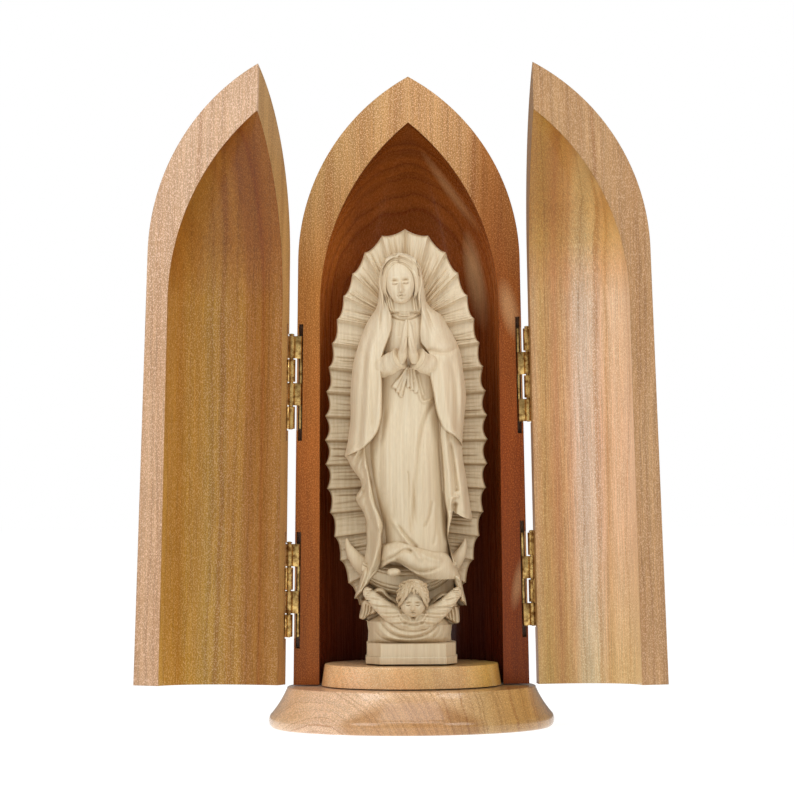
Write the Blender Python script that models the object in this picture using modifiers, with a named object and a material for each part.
"""A carved praying figure in a hinged, bullet-shaped wooden niche on a turned foot.

The niche is turned as one hollow ogive, then sawn into a fixed back half and two
quarter doors, hung on four small brass hinges whose leaves sit in saw kerfs.
Frame: metres, +Z up, -Y towards the viewer, origin at the centre of the foot's underside.
"""
import math

import bmesh
import bpy
import numpy as np
from mathutils import Matrix, Vector

MM = 0.001
COLLECTION = "statue_in_niche"
FIT_GAP = 0.3 * MM          # between pieces that touch, or that one cuts out of another

# Turned foot: a cove that flares down to a rounded lip.
FOOT_HEIGHT = 10.9 * MM
FOOT_TOP_RADIUS = 32.7 * MM
FOOT_EDGE_ROUND = 0.4 * MM
FOOT_LIP_RADIUS = 37.9 * MM
FOOT_LIP_WIDTH = 1.5 * MM   # half axes of the lip's elliptic edge
FOOT_LIP_HEIGHT = 2.1 * MM
FOOT_STEPS = 38

# Disc that the figure stands on, glued to the foot inside the niche.
DISC_BOTTOM_RADIUS = 23.9 * MM
DISC_TOP_RADIUS = 23.1 * MM
DISC_HEIGHT = 5.7 * MM
DISC_STEPS = 36

# Niche, measured up from its own bottom plane.
NICHE_BOTTOM = FOOT_HEIGHT + FIT_GAP
NICHE_HEIGHT = 161.7 * MM
NICHE_RADIUS = 31.4 * MM
NICHE_TAPER = 0.017         # loss of radius per unit of height on the straight side
SHOULDER_HEIGHT = 112.9 * MM
HOLLOW_RADIUS = 24.5 * MM
HOLLOW_SHOULDER_RADIUS = 23.75 * MM
HOLLOW_SHOULDER_HEIGHT = 100.5 * MM
HOLLOW_HEIGHT = 149.5 * MM
HALF_SAW_CUT = 0.25 * MM    # half the gap that the saw leaves between the pieces
SHELL_STEPS = 20            # facets of the back half
DOOR_STEPS = 10
ARC_STEPS = 9               # facets along each ogive arc
DOOR_LIFT = 0.2 * MM        # the doors end just above the back half's bottom
LEFT_DOOR_OPEN = math.radians(106.3)
RIGHT_DOOR_OPEN = math.radians(93.5)

# Brass butt hinges: four knuckles, leaves bent into saw kerfs near the outer surface.
HINGE_LENGTH = 25.0 * MM
KNUCKLE_RADIUS = 1.12 * MM
KNUCKLE_BORE = 0.66 * MM
KNUCKLE_COUNT = 4
KNUCKLE_SIDES = 8
PIN_RADIUS = 0.57 * MM       # runs in the bore with 0.09 mm to spare
PIN_HEAD_RADIUS = 0.8 * MM
PIN_HEAD_HEIGHT = 0.5 * MM
PIN_SIDES = 8
LEAF_THICKNESS = 0.5 * MM
LEAF_DEPTH = 4.6 * MM       # how far a leaf reaches into the wood
AXIS_OFFSET = 1.5 * MM      # from the niche's outer surface out to the hinge axis
KERF_INSET = 1.0 * MM       # from the outer surface in to the middle of the kerf
KERF_OVERRUN = 3.0 * MM     # the saw runs past each end of the leaf
LEFT_HINGES = {"bottom": 25.2 * MM, "top": 80.5 * MM}
RIGHT_HINGES = {"bottom": 27.9 * MM, "top": 82.2 * MM}

COLOURS = {
    "foot_wood": ((0.64, 0.40, 0.22), 0.35, 0.0),
    "disc_wood": ((0.64, 0.37, 0.17), 0.35, 0.0),
    "niche_wood": ((0.37, 0.16, 0.055), 0.38, 0.0),
    "door_wood": ((0.50, 0.28, 0.12), 0.38, 0.0),
    "maple": ((0.76, 0.64, 0.46), 0.5, 0.0),
    "brass": ((0.60, 0.40, 0.14), 0.3, 1.0),
}


def clear_scene():
    """Remove every object and collection, keeping the file open."""
    for obj in list(bpy.data.objects):
        bpy.data.objects.remove(obj, do_unlink=True)
    for collection in list(bpy.data.collections):
        bpy.data.collections.remove(collection)


def new_collection(name):
    collection = bpy.data.collections.new(name)
    bpy.context.scene.collection.children.link(collection)
    return collection


def material(piece_name, finish):
    """A Principled material for one piece, from the finish's colour and gloss."""
    colour, roughness, metallic = COLOURS[finish]
    mat = bpy.data.materials.new(f"{piece_name}_{finish}")
    mat.use_nodes = True
    shader = mat.node_tree.nodes["Principled BSDF"]
    shader.inputs["Base Color"].default_value = (*colour, 1.0)
    shader.inputs["Roughness"].default_value = roughness
    shader.inputs["Metallic"].default_value = metallic
    return mat


def add_object(name, mesh, collection, finish=None):
    obj = bpy.data.objects.new(name, mesh)
    collection.objects.link(obj)
    if finish:
        obj.data.materials.append(material(name, finish))
    return obj


def mesh_from(bm, name, smooth_angle=None):
    """Turn a bmesh into a mesh, with edges sharper than smooth_angle kept crisp."""
    mesh = bpy.data.meshes.new(name)
    bm.to_mesh(mesh)
    bm.free()
    if smooth_angle is not None:
        mesh.shade_smooth()
        mesh.set_sharp_from_angle(angle=smooth_angle)
    return mesh


def cutter(name, mesh, collection):
    obj = add_object(name, mesh, collection)
    obj.hide_render = True
    obj.display_type = "WIRE"
    return obj


def boolean(obj, other, operation):
    modifier = obj.modifiers.new(f"{operation.lower()}_{other.name}"[:60], "BOOLEAN")
    modifier.operation = operation
    modifier.solver = "EXACT"
    modifier.object = other


def turned(name, profile, steps, collection, finish):
    """A solid of revolution from (radius, height) points that run top to bottom."""
    mesh = bpy.data.meshes.new(name)
    points = [(radius, 0.0, height) for radius, height in profile]
    mesh.from_pydata(points, [(i, i + 1) for i in range(len(points) - 1)], [])
    obj = add_object(name, mesh, collection, finish)
    screw = obj.modifiers.new("turn", "SCREW")
    screw.steps = steps
    screw.render_steps = steps
    screw.use_merge_vertices = True
    screw.merge_threshold = 0.00001
    screw.use_smooth_shade = True
    return obj


def foot_profile():
    """Top face, eased edge, cove and the quarter-ellipse lip down to the underside."""
    top_edge = FOOT_TOP_RADIUS + FOOT_EDGE_ROUND
    cove_top = FOOT_HEIGHT - FOOT_EDGE_ROUND
    lip_centre = FOOT_LIP_RADIUS - FOOT_LIP_WIDTH
    lip_start = math.radians(60)
    cove_end = lip_centre + FOOT_LIP_WIDTH * math.cos(lip_start)
    cove_low = FOOT_LIP_HEIGHT * (1 + math.sin(lip_start))
    points = [(0.0, FOOT_HEIGHT), (FOOT_TOP_RADIUS, FOOT_HEIGHT)]
    for i in range(6):
        t = i / 5
        flare = 0.66 * t + 0.34 * t * t
        radius = top_edge + (cove_end - top_edge) * flare
        points.append((radius, cove_top + (cove_low - cove_top) * t))
    for degrees in (30, 0, -35, -68):
        angle = math.radians(degrees)
        radius = lip_centre + FOOT_LIP_WIDTH * math.cos(angle)
        points.append((radius, FOOT_LIP_HEIGHT * (1 + math.sin(angle))))
    points.append((lip_centre, 0.0))
    points.append((0.0, 0.0))
    return points


def ogive_radius(base_radius, taper, shoulder, height):
    """Radius of the arc that leaves the tapered side smoothly and meets the axis at height."""
    lean = math.atan(taper)
    start = base_radius - taper * shoulder
    rise = height - shoulder
    width = start * math.cos(lean) - rise * math.sin(lean)
    return (start ** 2 + rise ** 2) / (2 * width)


def ogive_outline(base_radius, taper, shoulder, height):
    """(radius, height) points of a pointed arch's half outline, bottom to tip."""
    lean = math.atan(taper)
    arc = ogive_radius(base_radius, taper, shoulder, height)
    start = base_radius - taper * shoulder
    centre_r = start - arc * math.cos(lean)
    centre_z = shoulder - arc * math.sin(lean)
    end = math.atan2(height - centre_z, -centre_r)
    points = [(base_radius, 0.0)]
    for i in range(ARC_STEPS):
        angle = lean + (end - lean) * i / ARC_STEPS
        points.append((centre_r + arc * math.cos(angle), centre_z + arc * math.sin(angle)))
    points.append((0.0, height))
    return points


def niche_section():
    """The niche's wall as one closed outline: up the outside, down the inside."""
    outer = ogive_outline(NICHE_RADIUS, NICHE_TAPER, SHOULDER_HEIGHT, NICHE_HEIGHT)
    taper = (HOLLOW_RADIUS - HOLLOW_SHOULDER_RADIUS) / HOLLOW_SHOULDER_HEIGHT
    inner = ogive_outline(HOLLOW_RADIUS, taper, HOLLOW_SHOULDER_HEIGHT, HOLLOW_HEIGHT)
    return outer + inner[::-1]


def niche_sector(name, start, sweep, steps):
    """The wall section spun about the niche's axis from angle start, through sweep."""
    bm = bmesh.new()
    turn = Matrix.Rotation(start, 3, "Z")
    verts = [bm.verts.new(turn @ Vector((r, 0.0, z))) for r, z in niche_section()]
    face = bm.faces.new(verts)
    bmesh.ops.spin(bm, geom=[face] + list(face.edges) + verts, cent=(0, 0, 0),
                   axis=(0, 0, 1), angle=sweep, steps=steps, use_duplicate=False)
    bmesh.ops.remove_doubles(bm, verts=bm.verts, dist=0.00001)
    bmesh.ops.dissolve_degenerate(bm, edges=bm.edges, dist=0.00001)
    bmesh.ops.recalc_face_normals(bm, faces=bm.faces)
    return mesh_from(bm, name, math.radians(30))


def outer_radius(height):
    """Outer radius of the niche's straight side at a height above its bottom."""
    return NICHE_RADIUS - NICHE_TAPER * height


def hinge_frame(side, height):
    """Placement on a hinge axis at a height, with +Z up the tapered side."""
    x = side * (outer_radius(height) + AXIS_OFFSET)
    lean = Matrix.Rotation(-side * math.atan(NICHE_TAPER), 4, "Y")
    return Matrix.Translation((x, 0.0, NICHE_BOTTOM + height)) @ lean


def leaf_frame(side, height, on_door):
    """Placement of a leaf, whose local +X runs to the niche's axis and +Y into its wood."""
    face_in = Matrix.Rotation(math.pi if side > 0 else 0.0, 4, "Y")
    face_wood = Matrix.Rotation(math.pi if on_door else 0.0, 4, "X")
    return hinge_frame(side, height) @ face_in @ face_wood


def place(obj, matrix):
    obj.location = matrix.to_translation()
    obj.rotation_euler = matrix.to_euler()


def door_axis(name, side, opening, collection):
    """An empty on the door's hinge axis, turned by how far the door stands open."""
    axis = bpy.data.objects.new(f"{name}_axis", None)
    collection.objects.link(axis)
    place(axis, hinge_frame(side, 0.0) @ Matrix.Rotation(side * opening, 4, "Z"))
    return axis


def hang(obj, axis, side, shut_place):
    """Parent a door's piece to its axis, from the piece's place with the door shut."""
    obj.parent = axis
    place(obj, hinge_frame(side, 0.0).inverted() @ shut_place)


def box_mesh(name, low, high):
    bm = bmesh.new()
    size = Vector(high) - Vector(low)
    middle = (Vector(high) + Vector(low)) / 2
    bmesh.ops.create_cube(bm, size=1.0)
    bmesh.ops.scale(bm, vec=size, verts=bm.verts)
    bmesh.ops.translate(bm, vec=middle, verts=bm.verts)
    return mesh_from(bm, name)


def knuckle_span(index):
    """Lowest and highest point of a knuckle, counted from the hinge's upper end."""
    pitch = HINGE_LENGTH / KNUCKLE_COUNT
    top = HINGE_LENGTH / 2 - index * pitch
    return top - pitch + FIT_GAP / 2, top - FIT_GAP / 2


def cylinder(bm, radius, low, high, sides):
    """Add a closed upright cylinder about the local Z axis and return its new vertices."""
    made = bmesh.ops.create_cone(bm, cap_ends=True, segments=sides, radius1=radius,
                                 radius2=radius, depth=high - low)
    bmesh.ops.translate(bm, vec=(0, 0, (low + high) / 2), verts=made["verts"])
    return made["verts"]


def leaf_mesh(cutters):
    """One hinge leaf with knuckles 1 and 3: tubes, webs and the plate in the kerf.

    The other leaf of a hinge is the same shape turned half round about the local X axis.
    """
    kerf_x = AXIS_OFFSET + KERF_INSET
    half = LEAF_THICKNESS / 2
    plate_start = half + FIT_GAP
    bm = bmesh.new()
    for index in (0, 2):
        low, high = knuckle_span(index)
        cylinder(bm, KNUCKLE_RADIUS, low, high, KNUCKLE_SIDES)
    leaf = add_object("leaf_tool", mesh_from(bm, "leaf_tool"), cutters)
    parts = []
    for index in (0, 2):
        low, high = knuckle_span(index)
        web = box_mesh(f"web_tool_{index}", (0.0, -half, low), (kerf_x + half, half, high))
        parts.append(("UNION", cutter(f"web_tool_{index}", web, cutters)))
        tab = box_mesh(f"tab_tool_{index}", (kerf_x - half, 0.0, low),
                       (kerf_x + half, plate_start + half, high))
        parts.append(("UNION", cutter(f"tab_tool_{index}", tab, cutters)))
    end = HINGE_LENGTH / 2 - FIT_GAP / 2
    plate = box_mesh("plate_tool", (kerf_x - half, plate_start, -end),
                     (kerf_x + half, LEAF_DEPTH, end))
    parts.append(("UNION", cutter("plate_tool", plate, cutters)))
    bm = bmesh.new()
    cylinder(bm, KNUCKLE_BORE, -HINGE_LENGTH, HINGE_LENGTH, KNUCKLE_SIDES)
    bore = cutter("bore_tool", mesh_from(bm, "bore_tool"), cutters)
    parts.append(("DIFFERENCE", bore))
    for operation, part in parts:
        boolean(leaf, part, operation)
    depsgraph = bpy.context.evaluated_depsgraph_get()
    mesh = bpy.data.meshes.new_from_object(leaf.evaluated_get(depsgraph))
    mesh.name = "hinge_leaf"
    mesh.shade_smooth()
    mesh.set_sharp_from_angle(angle=math.radians(40))
    for obj in [leaf] + [part for _, part in parts]:
        bpy.data.objects.remove(obj, do_unlink=True)
    return mesh


def pin_mesh():
    """The hinge pin: a plain rod with a low round head above the top knuckle."""
    half = HINGE_LENGTH / 2
    profile = [(0.0, half + PIN_HEAD_HEIGHT), (PIN_HEAD_RADIUS * 0.7, half + PIN_HEAD_HEIGHT),
               (PIN_HEAD_RADIUS, half + PIN_HEAD_HEIGHT * 0.6), (PIN_HEAD_RADIUS, half),
               (PIN_RADIUS, half), (PIN_RADIUS, -half), (0.0, -half)]
    bm = bmesh.new()
    verts = [bm.verts.new((r, 0.0, z)) for r, z in profile]
    edges = [bm.edges.new(pair) for pair in zip(verts, verts[1:])]
    bmesh.ops.spin(bm, geom=verts + edges, cent=(0, 0, 0), axis=(0, 0, 1),
                   angle=math.tau, steps=PIN_SIDES, use_duplicate=False)
    bmesh.ops.remove_doubles(bm, verts=bm.verts, dist=0.000001)
    bmesh.ops.recalc_face_normals(bm, faces=bm.faces)
    return mesh_from(bm, "hinge_pin", math.radians(40))


def kerf_cutter(name, matrix, cutters):
    """What the saw and chisel take for one leaf: the kerf and the step out to the knuckles."""
    kerf_x = AXIS_OFFSET + KERF_INSET
    half_width = LEAF_THICKNESS / 2 + FIT_GAP
    step_depth = LEAF_THICKNESS / 2 + FIT_GAP
    half_step = HINGE_LENGTH / 2 + FIT_GAP
    half_kerf = HINGE_LENGTH / 2 + KERF_OVERRUN
    kerf = box_mesh(name, (kerf_x - half_width, -2 * MM, -half_kerf),
                    (kerf_x + half_width, LEAF_DEPTH + FIT_GAP, half_kerf))
    step = box_mesh(f"{name}_step", (0.0, -2.2 * MM, -half_step),
                    (kerf_x, step_depth, half_step))
    made = []
    for part_name, mesh in ((name, kerf), (f"{name}_step", step)):
        obj = cutter(part_name, mesh, cutters)
        place(obj, matrix)
        made.append(obj)
    return made


def disc_profile():
    """Top face, slightly tapered side and underside of the pedestal disc."""
    ease = 0.3 * MM
    return [(0.0, DISC_HEIGHT), (DISC_TOP_RADIUS - ease, DISC_HEIGHT),
            (DISC_TOP_RADIUS, DISC_HEIGHT - ease), (DISC_BOTTOM_RADIUS, 0.0), (0.0, 0.0)]


# ---------------------------------------------------------------- carved figure
# The figure is laid out in millimetres: X to the right, Z up from the plinth's
# underside, and depth towards the viewer from the plane of the rays' back edge.

CARVING_PLANE = 0.4 * MM    # the rays' back plane lies just behind the niche's axis
HIDDEN = 0.3                # depth that is buried in the plate of rays
RAY_COUNT = 39
RAY_HALF_WIDTH = 21.7
RAY_CENTRE_X = -1.0
RAY_CENTRE_Z = 59.1
RAY_RISE = 56.1             # from the centre up to the top ray's tip
RAY_DROP = 52.5
RAY_SQUARENESS = 2.15       # exponent of the superellipse through the tips
RAY_SCALLOP = 1.15          # how far the edge falls back between two tips
FIGURE_BOTTOM = 22.2
FIGURE_TOP = 110.0
GROUP_TOP = 27.5
CARVING_VOXEL = 0.5
CARVING_TRIANGLES = 5100
CARVING_SCALE = 0.9868

# Outer edges of the praying figure, as (Z, X), from the veil down to the hem.
LEFT_SIDE = [(110, -2.4), (108.2, -5.6), (106.3, -6.6), (103.3, -7.3), (96.6, -8.0), (95.0, -8.8),
             (91.1, -11.6), (87.1, -13.2), (81.8, -14.9), (74.6, -15.9), (65.0, -16.1), (55.5, -17.6)]
LEFT_ZIGZAG = [(55.5, -17.6), (52.8, -16.0), (48.5, -13.1), (47.2, -13.0), (44.6, -14.8),
               (39.0, -12.1), (30.5, -11.9), (26.5, -13.0), (22.0, -13.8)]
RIGHT_SIDE = [(110, -2.4), (108.5, 1.2), (107.1, 2.5), (103.6, 3.7), (96.4, 5.0), (93.8, 8.1),
              (91.1, 10.0), (84.2, 13.5), (78.1, 14.5), (71.2, 15.2), (65.0, 14.6), (57.3, 14.1),
              (48.3, 15.3), (38.4, 16.7)]
RIGHT_LOW = [(38.3, 16.6), (38.0, 11.2), (34.4, 10.5), (31.5, 10.4), (25, 12.8), (22, 13.6)]
# The same for the angel, its wings and the plinth.
GROUP_LEFT = [(0, -12.3), (1.95, -12.3), (2.05, -12.0), (5.6, -12.0), (8.5, -11.5), (11.2, -11.9),
              (12.0, -14.0), (15, -13.4), (16.9, -13.3), (17.2, -15.3), (20.9, -14.1), (27.5, -12.8)]
GROUP_RIGHT = [(0, 12.4), (1.95, 12.4), (2.05, 12.1), (5.6, 12.1), (5.8, 10.8), (10.2, 11.0),
               (10.8, 13.1), (15.0, 13.1), (15.15, 15.0), (19.4, 14.1), (24, 13.0), (27.5, 12.0)]

# Folds as (path, depth, width): grooves are negative, ridges positive.
GOWN_FOLDS = [
    ([(7.8, 72), (2.8, 61), (1.6, 52), (0.3, 33)], -0.9, 0.7),
    ([(-3.6, 70), (-4.2, 60), (-4.7, 48), (-4.4, 36)], -0.6, 0.6),
    ([(-6.6, 70), (-7.7, 60), (-8.2, 50), (-7.4, 42)], -0.6, 0.6),
    ([(-1.3, 72), (-1.6, 48), (-1.4, 36)], -0.5, 0.55),
    ([(6.5, 68), (6.9, 56), (7.6, 38), (8.0, 31)], -0.5, 0.6),
    ([(5.2, 46), (5.0, 40), (4.2, 32)], -0.6, 0.6),
    ([(-2.2, 91), (-3.6, 86), (-4.0, 80)], -0.5, 0.5),
    ([(1.2, 91), (2.8, 86), (3.6, 80)], -0.5, 0.5),
    ([(-5.6, 39.5), (-2.3, 34.6), (0.2, 31.4)], 0.9, 0.7),
    ([(-4.4, 95.0), (-2.9, 93.4), (-0.6, 92.7), (3.2, 94.8)], 0.6, 0.5),
]
LEFT_PANEL_FOLDS = [
    ([(-8.6, 93), (-12.4, 76), (-13.0, 66), (-14.0, 57)], -0.8, 1.0),
    ([(-10.6, 88), (-11.4, 68), (-12.0, 58)], 0.5, 0.9),
    ([(-6.7, 84), (-8.6, 65), (-10.0, 60)], 0.5, 0.8),
]
RIGHT_PANEL_FOLDS = [
    ([(14.2, 84.6), (12.6, 84.2), (8.4, 83.0), (5.6, 83.4)], -0.8, 0.8),
    ([(10.8, 82.4), (12.6, 68), (13.0, 58)], -0.7, 0.9),
    ([(8.4, 82), (9.0, 75), (11.4, 62)], 0.5, 0.9),
]
LOWER_LEFT_FOLDS = [
    ([(-12.2, 58.5), (-13.8, 54.8), (-15.3, 51.8)], -0.9, 0.7),
    ([(-12.3, 59.2), (-11.1, 46), (-9.6, 40), (-8.4, 35)], 1.4, 0.7),
    ([(-12.7, 52.6), (-12.1, 48.4), (-14.4, 43.6)], -1.2, 0.8),
    ([(-10.9, 37), (-10.8, 31), (-12.4, 21)], -0.8, 0.7),
]
LOWER_RIGHT_FOLDS = [
    ([(9.3, 65), (10.8, 49), (11.7, 43.8)], 1.0, 0.8),
    ([(10.2, 60), (11.4, 52), (12.6, 44.2)], -1.0, 0.7),
]
HEM_FOLDS = [
    ([(-8.5, 27.0), (-4.6, 28.6), (-1.6, 30.4), (0.6, 29.8)], -0.8, 0.6),
    ([(-4.6, 28.4), (-1.4, 26.0), (2.6, 24.9), (9.4, 27.0)], -1.0, 0.6),
    ([(0.5, 31.2), (4.6, 28.6), (9.0, 27.4)], 0.7, 0.7),
]
ROBE_FOLDS = [
    ([(-7.6, 12.4), (-5.6, 9.4), (0.4, 7.1), (6.0, 9.4), (7.6, 11.6)], -0.9, 0.55),
    ([(-10.6, 11.2), (-9.0, 8.4), (-6.2, 6.6), (-2.0, 6.0)], -0.8, 0.55),
]
WING_FEATHERS = [
    ([(-12.4, 16.6), (-12.8, 14.4), (-13.3, 12.4)], -0.7, 0.4),
    ([(-11.3, 15.8), (-11.4, 14.2), (-11.9, 12.6)], -0.7, 0.4),
    ([(-9.2, 19.2), (-7.2, 17.4), (-4.8, 15.6)], -0.7, 0.4),
    ([(12.0, 16.0), (12.4, 13.4), (12.5, 11.4)], -0.7, 0.4),
    ([(10.8, 15.0), (11.2, 13.0), (11.4, 11.2)], -0.7, 0.4),
    ([(9.6, 18.0), (8.0, 16.7), (6.0, 15.2)], -0.7, 0.4),
]


# Heads, hair and noses as (centre, half sizes), all in (x, z, depth).
HEADS = [
    ((-1.8, 102.3, 8.6), (3.75, 5.9, 4.2)),
    ((-1.8, 104.6, 8.0), (4.35, 4.9, 4.6)),
    ((-1.8, 101.4, 12.4), (0.65, 1.3, 1.0)),
    ((0.8, 17.6, 13.4), (4.1, 5.2, 4.3)),
    ((0.8, 19.2, 12.8), (4.6, 4.4, 4.9)),
    ((0.8, 16.6, 17.3), (0.7, 1.1, 1.0)),
]
# Sleeves, joined hands, fists, the shoe and the crescent's horns as (path, radii).
LIMBS = [
    ([(-8.6, 79.4, 8.4), (-5.0, 80.0, 11.4), (-1.9, 81.4, 13.6)], [3.4, 3.6, 2.5]),
    ([(7.4, 79.6, 8.4), (4.2, 80.2, 11.4), (1.3, 81.6, 13.6)], [3.2, 3.5, 2.4]),
    ([(-0.4, 81.0, 13.4), (-0.3, 85.0, 14.2), (-0.2, 89.2, 14.2), (-0.1, 92.4, 13.6)],
     [2.0, 1.9, 1.35, 0.5]),
    ([(-11.2, 17.6, 11.4), (-11.7, 19.2, 11.4), (-11.6, 20.4, 11.2)], [1.1, 1.3, 0.8]),
    ([(12.0, 17.4, 11.4), (12.5, 19.0, 11.4), (12.3, 20.3, 11.2)], [1.1, 1.3, 0.8]),
    ([(-2.0, 25.6, 10.6), (-4.6, 24.6, 13.2)], [1.3, 0.9]),
    ([(-10.0, 24.0, 3.6), (-14.1, 27.1, 3.6), (-16.5, 30.6, 3.2), (-17.2, 33.4, 2.8)],
     [2.6, 2.2, 1.3, 0.3]),
    ([(8.0, 23.8, 3.6), (11.9, 26.9, 3.6), (14.0, 30.2, 3.2), (14.7, 33.2, 2.8)],
     [2.6, 2.2, 1.3, 0.3]),
]


def through(points, t):
    """A smooth curve through (t, value) points: cubic spans with averaged slopes."""
    table = np.array(sorted(points), float)
    x, y = table[:, 0], table[:, 1]
    slope = np.gradient(y, x)
    t = np.clip(t, x[0], x[-1])
    i = np.clip(np.searchsorted(x, t) - 1, 0, len(x) - 2)
    h = x[i + 1] - x[i]
    s = (t - x[i]) / h
    start = (1 + 2 * s) * (1 - s) ** 2 * y[i] + s * (1 - s) ** 2 * h * slope[i]
    return start + s * s * (3 - 2 * s) * y[i + 1] + s * s * (s - 1) * h * slope[i + 1]


def straight(points, t):
    table = np.array(sorted(points), float)
    return np.interp(t, table[:, 0], table[:, 1])


def rounded(inset, radius):
    """Quarter-round edge: 0 at the edge, 1 from radius inwards."""
    s = np.clip(inset / radius, 0, 1)
    return np.sqrt(1 - (1 - s) ** 2)


def blend(low, high, x):
    s = np.clip((x - low) / (high - low), 0, 1)
    return s * s * (3 - 2 * s)


def smooth_path(path, count=20):
    """Points along a Catmull-Rom curve through the path's points."""
    p = np.array(path, float)
    q = np.vstack([2 * p[0] - p[1], p, 2 * p[-1] - p[-2]])
    t = np.linspace(0, len(p) - 1, count)
    i = np.minimum(t.astype(int), len(p) - 2)
    f = (t - i)[:, None]
    a, b, c, d = q[i], q[i + 1], q[i + 2], q[i + 3]
    bend = (2 * a - 5 * b + 4 * c - d) * f ** 2 + (3 * b - a - 3 * c + d) * f ** 3
    return 0.5 * (2 * b + (c - a) * f + bend)


def path_distance(x, z, points):
    """Distance from each (x, z) to a run of points, and how far along it that is."""
    best = np.full(x.shape, 1e9)
    where = np.zeros(x.shape)
    spans = len(points) - 1
    for i in range(spans):
        (ax, az), (ex, ez) = points[i], points[i + 1] - points[i]
        t = np.clip(((x - ax) * ex + (z - az) * ez) / (ex * ex + ez * ez + 1e-12), 0, 1)
        d = (x - ax - t * ex) ** 2 + (z - az - t * ez) ** 2
        where = np.where(d < best, (i + t) / spans, where)
        best = np.minimum(d, best)
    return np.sqrt(best), where


def folds(x, z, table):
    """Sum of rounded grooves and ridges along paths, each fading at its two ends."""
    total = np.zeros(x.shape)
    for path, depth, width in table:
        distance, along = path_distance(x, z, smooth_path(path))
        fade = blend(0, 0.12, along) * blend(0, 0.12, 1 - along)
        total += depth * fade * np.exp(-(distance / width) ** 2)
    return total


def patch(x, z, outline, depth, edge=0.8):
    """A raised patch of a depth inside a smooth closed outline, with rounded edges."""
    points = smooth_path(outline + outline[:1], 48)
    within = np.zeros(x.shape, bool)
    for (ax, az), (bx, bz) in zip(points[:-1], points[1:]):
        crossing = (az > z) != (bz > z)
        within ^= crossing & (x < (bx - ax) * (z - az) / (bz - az + 1e-12) + ax)
    distance, _ = path_distance(x, z, points)
    return depth * rounded(distance * within, edge)


def left_side(z):
    return np.where(z > 55.5, through(LEFT_SIDE, z), straight(LEFT_ZIGZAG, z))


def right_side(z):
    return np.where(z > 38.35, through(RIGHT_SIDE, z), straight(RIGHT_LOW, z))


def gown(x, z):
    """The belted gown: a flattened tube with a bent knee, pleats and a rolled collar."""
    left = through([(97, -4), (92.4, -6.5), (82, -8.5), (71.7, -10), (57.9, -12.2), (51.3, -11.4),
                    (42.2, -9.6), (35.8, -8.2), (20, -7.8)], z)
    right = through([(97, 2), (92.4, 5.5), (82, 8.6), (65, 9.6), (43.7, 9.9), (28, 11.4), (20, 12)], z)
    crown = through([(98, 6.4), (93, 7.4), (88, 8.6), (80, 9.0), (72, 9.2), (62, 10.6), (52, 11.6),
                     (44, 11.5), (37, 11.0), (20, 11)], z)
    middle, half = (left + right) / 2, (right - left) / 2
    offset = np.abs(x - middle)
    knee = 0.9 * np.exp(-(((x - 4.2) / 3.2) ** 2 + ((z - 50) / 7.5) ** 2))
    waist = 1.2 * np.exp(-((x / 5.5) ** 2 + ((z - 76) / 2.4) ** 2))
    relief = (folds(x, z, GOWN_FOLDS) + knee) * rounded(half - offset, 1.5)
    section = (1 - np.clip(offset / half, 0, 1) ** 2.6) ** (1 / 2.2)
    return (crown + relief) * section * blend(95.6, 94.4, z) - waist


def neck_and_veil(x, z):
    """The neck, and the veil's hood with its rolled rim and its falls beside the neck."""
    neck = 7.2 * rounded(2.9 - np.abs(x + 0.85), 2.9) * blend(92, 93.2, z) * blend(101.5, 100, z)
    rise = np.where(z > 102.2, (z - 102.2) / 7.8, 0)
    hood = 9.6 * np.sqrt(np.clip(1 - np.hypot((x + 1.75) / 5.75, rise) ** 2.6, 0, 1))
    left = through([(108.6, -2.2), (106.5, -5.2), (104, -6.3), (96.4, -5.7), (88, -5.4)], z)
    right = through([(108.6, -1.4), (106.5, 1.6), (104, 2.5), (96.4, 2.9), (88, 5.0)], z)
    hollow = blend(-0.05, 0.4, np.minimum(x - left, right - x)) * blend(108.8, 108.3, z)
    hood = (hood * (1 - hollow) + np.minimum(hood, 5.5) * hollow) * blend(91, 93.5, z)
    rim_path = [(-6.2, 90.2), (-6.7, 96.6), (-6.75, 104), (-3.9, 108.7), (-1.8, 109.2),
                (0.2, 108.7), (3.0, 104), (3.5, 96.6), (5.4, 90.2)]
    distance, along = path_distance(x, z, smooth_path(rim_path, 32))
    end = np.minimum(along, 1 - along)
    rim = (9.0 + 1.6 * np.sin(along * np.pi) ** 0.6) * rounded(0.9 - distance, 0.9)
    return np.maximum(np.maximum(neck, hood), rim * blend(0, 0.08, end))


def mantle_panel(x, z, outer_inset, inner_inset, width, crown, table, low):
    """One front panel of the mantle: rolls off to its outer edge, crisp at its inner edge."""
    roll = rounded(outer_inset, np.clip(width * 0.95, 1.2, 7.0))
    panel = (2.0 + (crown - 2.0) * roll) * rounded(inner_inset, 0.55)
    panel = panel + folds(x, z, table) * rounded(outer_inset, 2.0)
    here = (outer_inset > 0) & (inner_inset > 0) & (z > low)
    return np.where(here, panel, 0) * blend(98, 95.5, z)


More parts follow.
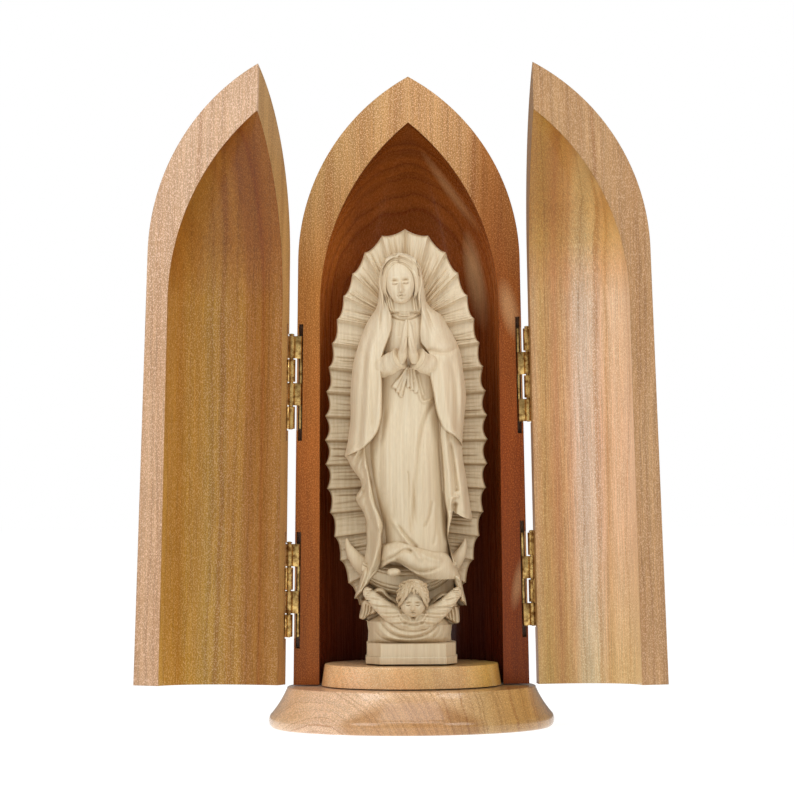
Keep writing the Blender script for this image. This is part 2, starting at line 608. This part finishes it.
def mantle(x, z):
    """Both front panels, over the lower cloth that hangs inside them."""
    inner = through([(97, -5.0), (92.4, -5.0), (83.4, -6.1), (74.3, -6.9), (65, -7.6), (61.7, -8.7),
                     (58.7, -11.2), (56.8, -13.9), (55.4, -17.6)], z)
    crown = through([(96, 6.0), (90, 9.0), (84, 10.6), (75, 11.4), (65, 12.0), (54, 11.6)], z)
    outer = left_side(z)
    left = mantle_panel(x, z, x - outer, inner - x, inner - outer, crown, LEFT_PANEL_FOLDS, 55.45)
    inner = through([(97, 3.6), (92.4, 4.9), (83.4, 5.7), (72.8, 6.4), (65, 7.8), (62.3, 9.3),
                     (60.8, 11.7), (59.2, 13.3), (57.0, 14.2)], z)
    crown = through([(96, 6.0), (90, 8.8), (84, 10.8), (75, 11.6), (65, 11.8), (58, 11.4)], z)
    outer = right_side(z)
    right = mantle_panel(x, z, outer - x, x - inner, outer - inner, crown, RIGHT_PANEL_FOLDS, 57.1)
    return np.maximum(left, right)


def lower_mantle(x, z):
    """The mantle's lower cloth: a zigzag fall on the left, a flap and strip on the right."""
    valley = through([(60, -11.9), (54.4, -11.5), (46.7, -10.0), (39.1, -7.9), (37.0, -7.2),
                      (31.5, -7.5), (25.7, -8.3), (22, -10.8)], z)
    outer, inner = x - left_side(z), valley - x
    left = (2.0 + 6.8 * rounded(outer, 4.2)) * rounded(inner, 0.5)
    left = left + folds(x, z, LOWER_LEFT_FOLDS) * rounded(outer, 0.7)
    left = np.where((outer > 0) & (inner > 0), left, 0) * blend(60, 59, z)
    edge = through([(66, 8.2), (55.9, 8.3), (43.7, 9.0), (39.1, 9.8), (34.5, 9.6), (26, 11)], z)
    outer, inner = right_side(z) - x, x - edge
    right = (2.0 + 6.6 * rounded(outer, 3.8)) * rounded(inner, 0.5)
    right = right + folds(x, z, LOWER_RIGHT_FOLDS) * rounded(outer, 0.8)
    hook = through([(44.6, 11.7), (43, 11.3), (41.0, 11.5), (38.3, 11.2)], z)
    flap = straight([(44.6, 12.8), (43.6, 12.0), (41.6, 12.0), (38.8, 14.2), (38.3, 16.6)], z)
    hollow = blend(44.6, 43.9, z) * blend(0, 0.35, x - hook) * blend(0.2, -0.2, x - flap)
    right = np.where((outer > 0) & (inner > 0), right * (1 - 0.9 * hollow), 0)
    return np.maximum(left, right * blend(66, 63, z))


def hem_lower_edge(x):
    return through([(-14, 21), (-10.5, 22.3), (-8.3, 24.7), (-4.0, 27.0), (1.8, 24.0),
                    (4.8, 22.8), (7.8, 22.4), (13.4, 22.5)], x)


def hem_roll(x, z):
    """The cloth bunched over the feet."""
    top = through([(-14, 32), (-7, 31.6), (-3.4, 32.5), (1.2, 31.2), (6.4, 29.7), (10.3, 28.4),
                   (12, 25.6), (14, 22.6)], x)
    crown = through([(-14, 8.5), (-9, 11.0), (-4, 13.2), (2, 13.6), (8, 12.8), (12, 9.6), (14, 6)], x)
    above, below = z - hem_lower_edge(x), top - z
    swell = 0.84 + 0.16 * np.sin(np.clip(above / (top - hem_lower_edge(x)), 0, 1) * np.pi)
    roll = crown * swell * rounded(above, 0.5) + folds(x, z, HEM_FOLDS)
    return np.where((above > 0) & (x > -8), roll * blend(-1.2, 0.2, below), 0)


def figure_depth(x, z):
    """Depth of the praying figure: the foremost of its layers."""
    layers = [gown(x, z), neck_and_veil(x, z), mantle(x, z), lower_mantle(x, z), hem_roll(x, z)]
    depth = np.maximum.reduce(layers)
    open_below = (z < hem_lower_edge(x)) & (x > -8.3)
    return np.maximum(np.where(open_below, HIDDEN, depth), HIDDEN)


def crescent(x, z):
    """The middle of the crescent moon, between two half ellipses with shared tips."""
    arch = np.sqrt(1 - np.clip(np.abs(x + 1.2) / 16.0, 0, 1) ** 2)
    low, high = 33 - 15 * arch, 33 - 7 * arch
    inset = np.clip(np.minimum(z - low, high - z) / np.maximum((high - low) / 2, 0.05), 0, 1)
    return np.where((inset > 0) & (z < 27), 4.2 + 4.4 * np.sqrt(1 - (1 - inset) ** 2), 0)


def wings(x, z):
    """Two wings, each with an upper lobe behind the arm and a lower one beside the robe."""
    lobes = [
        ([(-11.0, 18.0), (-8.4, 20.6), (-6.9, 20.1), (-5.6, 18.4), (-2.6, 14.0), (-7.0, 13.5)], 9.2),
        ([(11.4, 17.6), (8.6, 19.0), (7.2, 18.4), (4.2, 14.0), (8.6, 13.4)], 9.2),
        ([(-12.0, 18.0), (-13.5, 14.4), (-14.05, 12.1), (-12.6, 11.5), (-9.0, 13.4), (-8.6, 16)], 8.2),
        ([(11.6, 17.2), (13.1, 13.2), (13.15, 10.9), (12.3, 10.2), (8.6, 12.4), (8.4, 15.6)], 8.2),
    ]
    depth = np.maximum.reduce([patch(x, z, outline, crown) for outline, crown in lobes])
    return np.where(depth > 1, depth + folds(x, z, WING_FEATHERS), 0)


def robe(x, z):
    """The angel's swagged robe, broad and low on the plinth."""
    left = straight([(5, -11.9), (8.5, -11.5), (11.3, -11.9), (12.6, -9.5), (14.5, -6.5)], z)
    right = straight([(5, 10.9), (7.3, 10.7), (10.2, 11.0), (12.4, 9.0), (14.5, 7.0)], z)
    crown = through([(4.8, 11.5), (6.2, 13.6), (8.5, 14.8), (11, 14.4), (13, 13.0), (15, 11.0)], z)
    offset = np.clip(np.abs(x - (left + right) / 2) / ((right - left) / 2), 0, 1)
    relief = folds(x, z, ROBE_FOLDS) * (1 - offset ** 3)
    return (crown * (1 - offset ** 2.8) ** (1 / 2.4) + relief) * blend(15.2, 13.6, z)


def arms(x, z):
    """Raised arms that taper from the shoulders to the fists."""
    depth = np.zeros(x.shape)
    for path in ([(-2.6, 11.6), (-5.6, 13.8), (-11.4, 18.8)], [(3.8, 11.6), (6.6, 13.4), (12.3, 18.8)]):
        distance, along = path_distance(x, z, smooth_path(path))
        radius = 2.15 - 0.7 * along
        bulge = np.sqrt(np.clip(radius ** 2 - distance ** 2, 0, None))
        depth = np.maximum(depth, np.where(bulge > 0, 12.6 - 1.2 * along + bulge, 0))
    return depth


def drape_ends(x, z):
    """The two pointed ends of the mantle that the angel holds up."""
    left = [(-7.8, 29), (-7.7, 26.2), (-10.6, 22.2), (-13.2, 18.6), (-15.25, 17.2), (-14.0, 21.4),
            (-12.6, 29)]
    right = [(11.0, 24.4), (13.4, 23.4), (14.5, 18.2), (15.0, 15.2), (12.9, 16.8), (11.6, 21.4)]
    return np.maximum(patch(x, z, left, 10.0), patch(x, z, right, 10.0))


def plinth(x, z):
    """Two low tiers with chamfered front corners."""
    depth = np.zeros(x.shape)
    for top, front, half_width, flat in ((5.6, 16.0, 11.9, 8.6), (2.0, 16.4, 12.3, 8.9)):
        chamfer = 6.0 * np.clip((np.abs(x) - flat) / (half_width - flat), 0, None)
        tier = (z < top) & (np.abs(x) < half_width)
        depth = np.maximum(depth, np.where(tier, front - chamfer, 0))
    return depth


def group_depth(x, z):
    """Depth of everything below the hem: the foremost of its layers."""
    core = np.where((z < 24) & (np.abs(x) < 8), 4.0, HIDDEN)
    layers = [core, crescent(x, z), wings(x, z), robe(x, z), arms(x, z), drape_ends(x, z), plinth(x, z)]
    return np.maximum.reduce(layers)


def group_back(x, z, depth):
    """Wings, fists and drape ends stand free of the plate behind them."""
    free = blend(9.5, 11.5, np.abs(x)) * blend(5.7, 9.5, z)
    return HIDDEN * (1 - free) + np.maximum(depth - 2.6, HIDDEN) * free


def relief_solid(left, right, low, high, front, back, columns, rows):
    """A closed solid between a front and a back depth, over rows from left(z) to right(z)."""
    z = np.linspace(low, high, rows)[:, None] * np.ones((1, columns))
    across = np.linspace(-1, 1, columns)
    across = 0.65 * across + 0.35 * np.sin(across * np.pi / 2)
    x = (left(z) + right(z)) / 2 + (right(z) - left(z)) / 2 * across
    y_front = front(x, z)
    y_back = back(x, z, y_front)
    rim = np.zeros(x.shape, bool)
    rim[[0, -1]] = True
    rim[:, [0, -1]] = True
    y_front = np.where(rim, y_back, np.maximum(y_front, y_back + 0.05))
    faces = []
    count = rows * columns
    for r in range(rows - 1):
        for c in range(columns - 1):
            a = r * columns + c
            quad = (a, a + 1, a + columns + 1, a + columns)
            faces.append(quad)
            faces.append(tuple(i + count for i in reversed(quad)))
    points = [np.stack([x, -y, z], -1).reshape(-1, 3) for y in (y_front, y_back)]
    return np.concatenate(points), faces


def ray_plate(steps_per_ray=4, rings=5):
    """The plate of rays: a scalloped superellipse with a ridge out to every tip."""
    turn = np.linspace(0, math.tau, 2001)
    power = 2 / RAY_SQUARENESS
    sine, cosine = np.sin(turn), np.cos(turn)
    edge_x = RAY_HALF_WIDTH * np.sign(sine) * np.abs(sine) ** power
    edge_z = np.where(cosine > 0, RAY_RISE, RAY_DROP) * np.sign(cosine) * np.abs(cosine) ** power
    length = np.concatenate([[0], np.cumsum(np.hypot(np.diff(edge_x), np.diff(edge_z)))])
    count = RAY_COUNT * steps_per_ray
    at = np.arange(count) / count * length[-1]
    edge_x, edge_z = np.interp(at, length, edge_x), np.interp(at, length, edge_z)
    between = (np.arange(count) % steps_per_ray) / steps_per_ray
    dip = 4 * between * (1 - between)
    out = np.hypot(edge_x, edge_z)
    edge_x, edge_z = (v * (1 - RAY_SCALLOP * dip / out) for v in (edge_x, edge_z))
    spine = np.clip(edge_z, -34, 34) * 0.9
    points, faces = [], []
    for side in (1, -1):
        for ring in range(1, rings + 1):
            s = ring / rings
            front = 0.9 + 1.3 * (1 - s) - 0.5 * dip * s
            depth = front if side > 0 else np.full(count, -0.9 + 0.6 * s)
            points += list(zip(RAY_CENTRE_X + edge_x * s, -depth,
                               RAY_CENTRE_Z + spine + (edge_z - spine) * s))
    for side in range(2):
        for ring in range(rings - 1):
            base = (side * rings + ring) * count
            for i in range(count):
                j = (i + 1) % count
                quad = (base + i, base + j, base + count + j, base + count + i)
                faces.append(quad if side else quad[::-1])
    front_edge, back_edge = (rings - 1) * count, (2 * rings - 1) * count
    for i in range(count):
        j = (i + 1) % count
        faces.append((front_edge + j, front_edge + i, back_edge + i, back_edge + j))
    faces.append(tuple(range(count)))
    faces.append(tuple(range(rings * count, (rings + 1) * count))[::-1])
    return np.array(points), faces


def tube(path, radii, sides=14, flatness=1.0):
    """A closed tapering tube through (x, z, depth) points, as vertices and faces."""
    p = np.array(path, float)[:, [0, 2, 1]] * (1, -1, 1)
    spans = len(p) - 1
    t = np.linspace(0, spans, 6 * spans + 1)
    points = np.stack([through(list(enumerate(p[:, k])), t) for k in range(3)], -1)
    radius = through(list(enumerate(radii)), t)
    ahead = np.gradient(points, axis=0)
    ahead /= np.linalg.norm(ahead, axis=1, keepdims=True)
    across = np.cross(ahead, (0.0, -1.0, 0.0))
    across /= np.linalg.norm(across, axis=1, keepdims=True)
    up = np.cross(across, ahead)
    turn = np.arange(sides) / sides * math.tau
    ring = (np.cos(turn)[None, :, None] * across[:, None] +
            flatness * np.sin(turn)[None, :, None] * up[:, None])
    verts = (points[:, None] + radius[:, None, None] * ring).reshape(-1, 3)
    faces = []
    for i in range(len(points) - 1):
        for j in range(sides):
            k = (j + 1) % sides
            faces.append((i * sides + j, i * sides + k, (i + 1) * sides + k, (i + 1) * sides + j))
    last = (len(points) - 1) * sides
    faces.append(tuple(range(sides))[::-1])
    faces.append(tuple(range(last, last + sides)))
    return verts, faces


def ovoid(centre, half, rings=12, sides=18):
    """A closed ovoid about an (x, z, depth) centre, as vertices and faces."""
    polar = np.linspace(0, math.pi, rings + 1)[1:-1, None]
    turn = np.arange(sides)[None] / sides * math.tau
    x = centre[0] + half[0] * np.sin(polar) * np.cos(turn)
    y = -centre[2] + half[2] * np.sin(polar) * np.sin(turn)
    z = centre[1] + half[1] * np.cos(polar) * np.ones_like(turn)
    verts = np.stack([x, y, z], -1).reshape(-1, 3)
    poles = [(centre[0], -centre[2], centre[1] + half[1]), (centre[0], -centre[2], centre[1] - half[1])]
    faces = []
    top = len(verts)
    for j in range(sides):
        k = (j + 1) % sides
        for i in range(rings - 2):
            faces.append((i * sides + j, (i + 1) * sides + j, (i + 1) * sides + k, i * sides + k))
        faces.append((top, j, k))
        faces.append((top + 1, (rings - 2) * sides + k, (rings - 2) * sides + j))
    return np.concatenate([verts, poles]), faces


def statue_shells():
    """The carving's closed shells in millimetres, before they are made one body."""
    figure = relief_solid(left_side, right_side, FIGURE_BOTTOM, FIGURE_TOP, figure_depth,
                          lambda x, z, depth: np.full(x.shape, HIDDEN), 56, 148)
    group = relief_solid(lambda z: straight(GROUP_LEFT, z), lambda z: straight(GROUP_RIGHT, z),
                         0.0, GROUP_TOP, group_depth, group_back, 60, 62)
    shells = [figure, group]
    shells += [ovoid(*shape) for shape in HEADS]
    shells += [tube(*shape) for shape in LIMBS]
    shells = [(points * CARVING_SCALE, faces) for points, faces in shells]
    return shells + [ray_plate()]


def carve_statue(collection):
    """Join the shells into one closed body, then thin its facets out."""
    bm = bmesh.new()
    for points, faces in statue_shells():
        verts = [bm.verts.new(point * MM) for point in points]
        for face in faces:
            bm.faces.new([verts[i] for i in face])
    bmesh.ops.recalc_face_normals(bm, faces=bm.faces)
    statue = add_object("statue", mesh_from(bm, "statue"), collection, "maple")
    statue.location = (0.0, CARVING_PLANE, NICHE_BOTTOM + DISC_HEIGHT + FIT_GAP)
    remesh = statue.modifiers.new("one_body", "REMESH")
    remesh.mode = "VOXEL"
    remesh.voxel_size = CARVING_VOXEL * MM
    remesh.use_smooth_shade = True
    depsgraph = bpy.context.evaluated_depsgraph_get()
    facets = len(statue.evaluated_get(depsgraph).data.polygons)
    thin = statue.modifiers.new("facets", "DECIMATE")
    thin.ratio = CARVING_TRIANGLES / (2 * facets)
    return statue


def saw_kerfs(obj, side, heights, on_door, cutters):
    """Cut a kerf and a step into a piece for each of its hinge leaves."""
    for level, height in heights.items():
        frame = leaf_frame(side, height, on_door)
        name = f"{obj.name}_{level}_{'left' if side < 0 else 'right'}_kerf"
        for tool in kerf_cutter(name, frame, cutters):
            boolean(obj, tool, "DIFFERENCE")
            yield tool


def build_niche(collection, cutters):
    """The fixed back half and the two doors, each sawn free and kerfed for its leaves."""
    shell = add_object("back_shell", niche_sector("back_shell", 0.0, math.pi, SHELL_STEPS),
                       collection, "niche_wood")
    shell.location = (0.0, HALF_SAW_CUT, NICHE_BOTTOM)
    list(saw_kerfs(shell, -1, LEFT_HINGES, False, cutters))
    list(saw_kerfs(shell, 1, RIGHT_HINGES, False, cutters))
    axes = {}
    for name, side, opening, start, heights in (
            ("left_door", -1, LEFT_DOOR_OPEN, math.pi, LEFT_HINGES),
            ("right_door", 1, RIGHT_DOOR_OPEN, math.pi * 1.5, RIGHT_HINGES)):
        axis = door_axis(name, side, opening, collection)
        door = add_object(name, niche_sector(name, start, math.pi / 2, DOOR_STEPS),
                          collection, "door_wood")
        shut = Matrix.Translation((side * HALF_SAW_CUT, -HALF_SAW_CUT, NICHE_BOTTOM + DOOR_LIFT))
        hang(door, axis, side, shut)
        for tool in saw_kerfs(door, side, heights, True, cutters):
            hang(tool, axis, side, tool.matrix_basis.copy())
        axes[side] = axis
    return axes


def build_hinges(collection, cutters, axes):
    """Two leaves and a pin for each of the four hinges."""
    leaf, pin = leaf_mesh(cutters), pin_mesh()
    for side, side_name, heights in ((-1, "left", LEFT_HINGES), (1, "right", RIGHT_HINGES)):
        for level, height in heights.items():
            name = f"{side_name}_{level}"
            fixed = add_object(f"{name}_shell_leaf", leaf, collection, "brass")
            place(fixed, leaf_frame(side, height, False))
            moving = add_object(f"{name}_door_leaf", leaf, collection)
            hang(moving, axes[side], side, leaf_frame(side, height, True))
            rod = add_object(f"{name}_pin", pin, collection)
            if not pin.materials:
                pin.materials.append(material("pin", "brass"))
            place(rod, hinge_frame(side, height))


def main():
    clear_scene()
    collection = new_collection(COLLECTION)
    cutters = new_collection("cutters")
    cutters.hide_render = True
    turned("foot", foot_profile(), FOOT_STEPS, collection, "foot_wood")
    disc = turned("pedestal_disc", disc_profile(), DISC_STEPS, collection, "disc_wood")
    disc.location = (0.0, 0.0, NICHE_BOTTOM)
    axes = build_niche(collection, cutters)
    build_hinges(collection, cutters, axes)
    carve_statue(collection)


main()
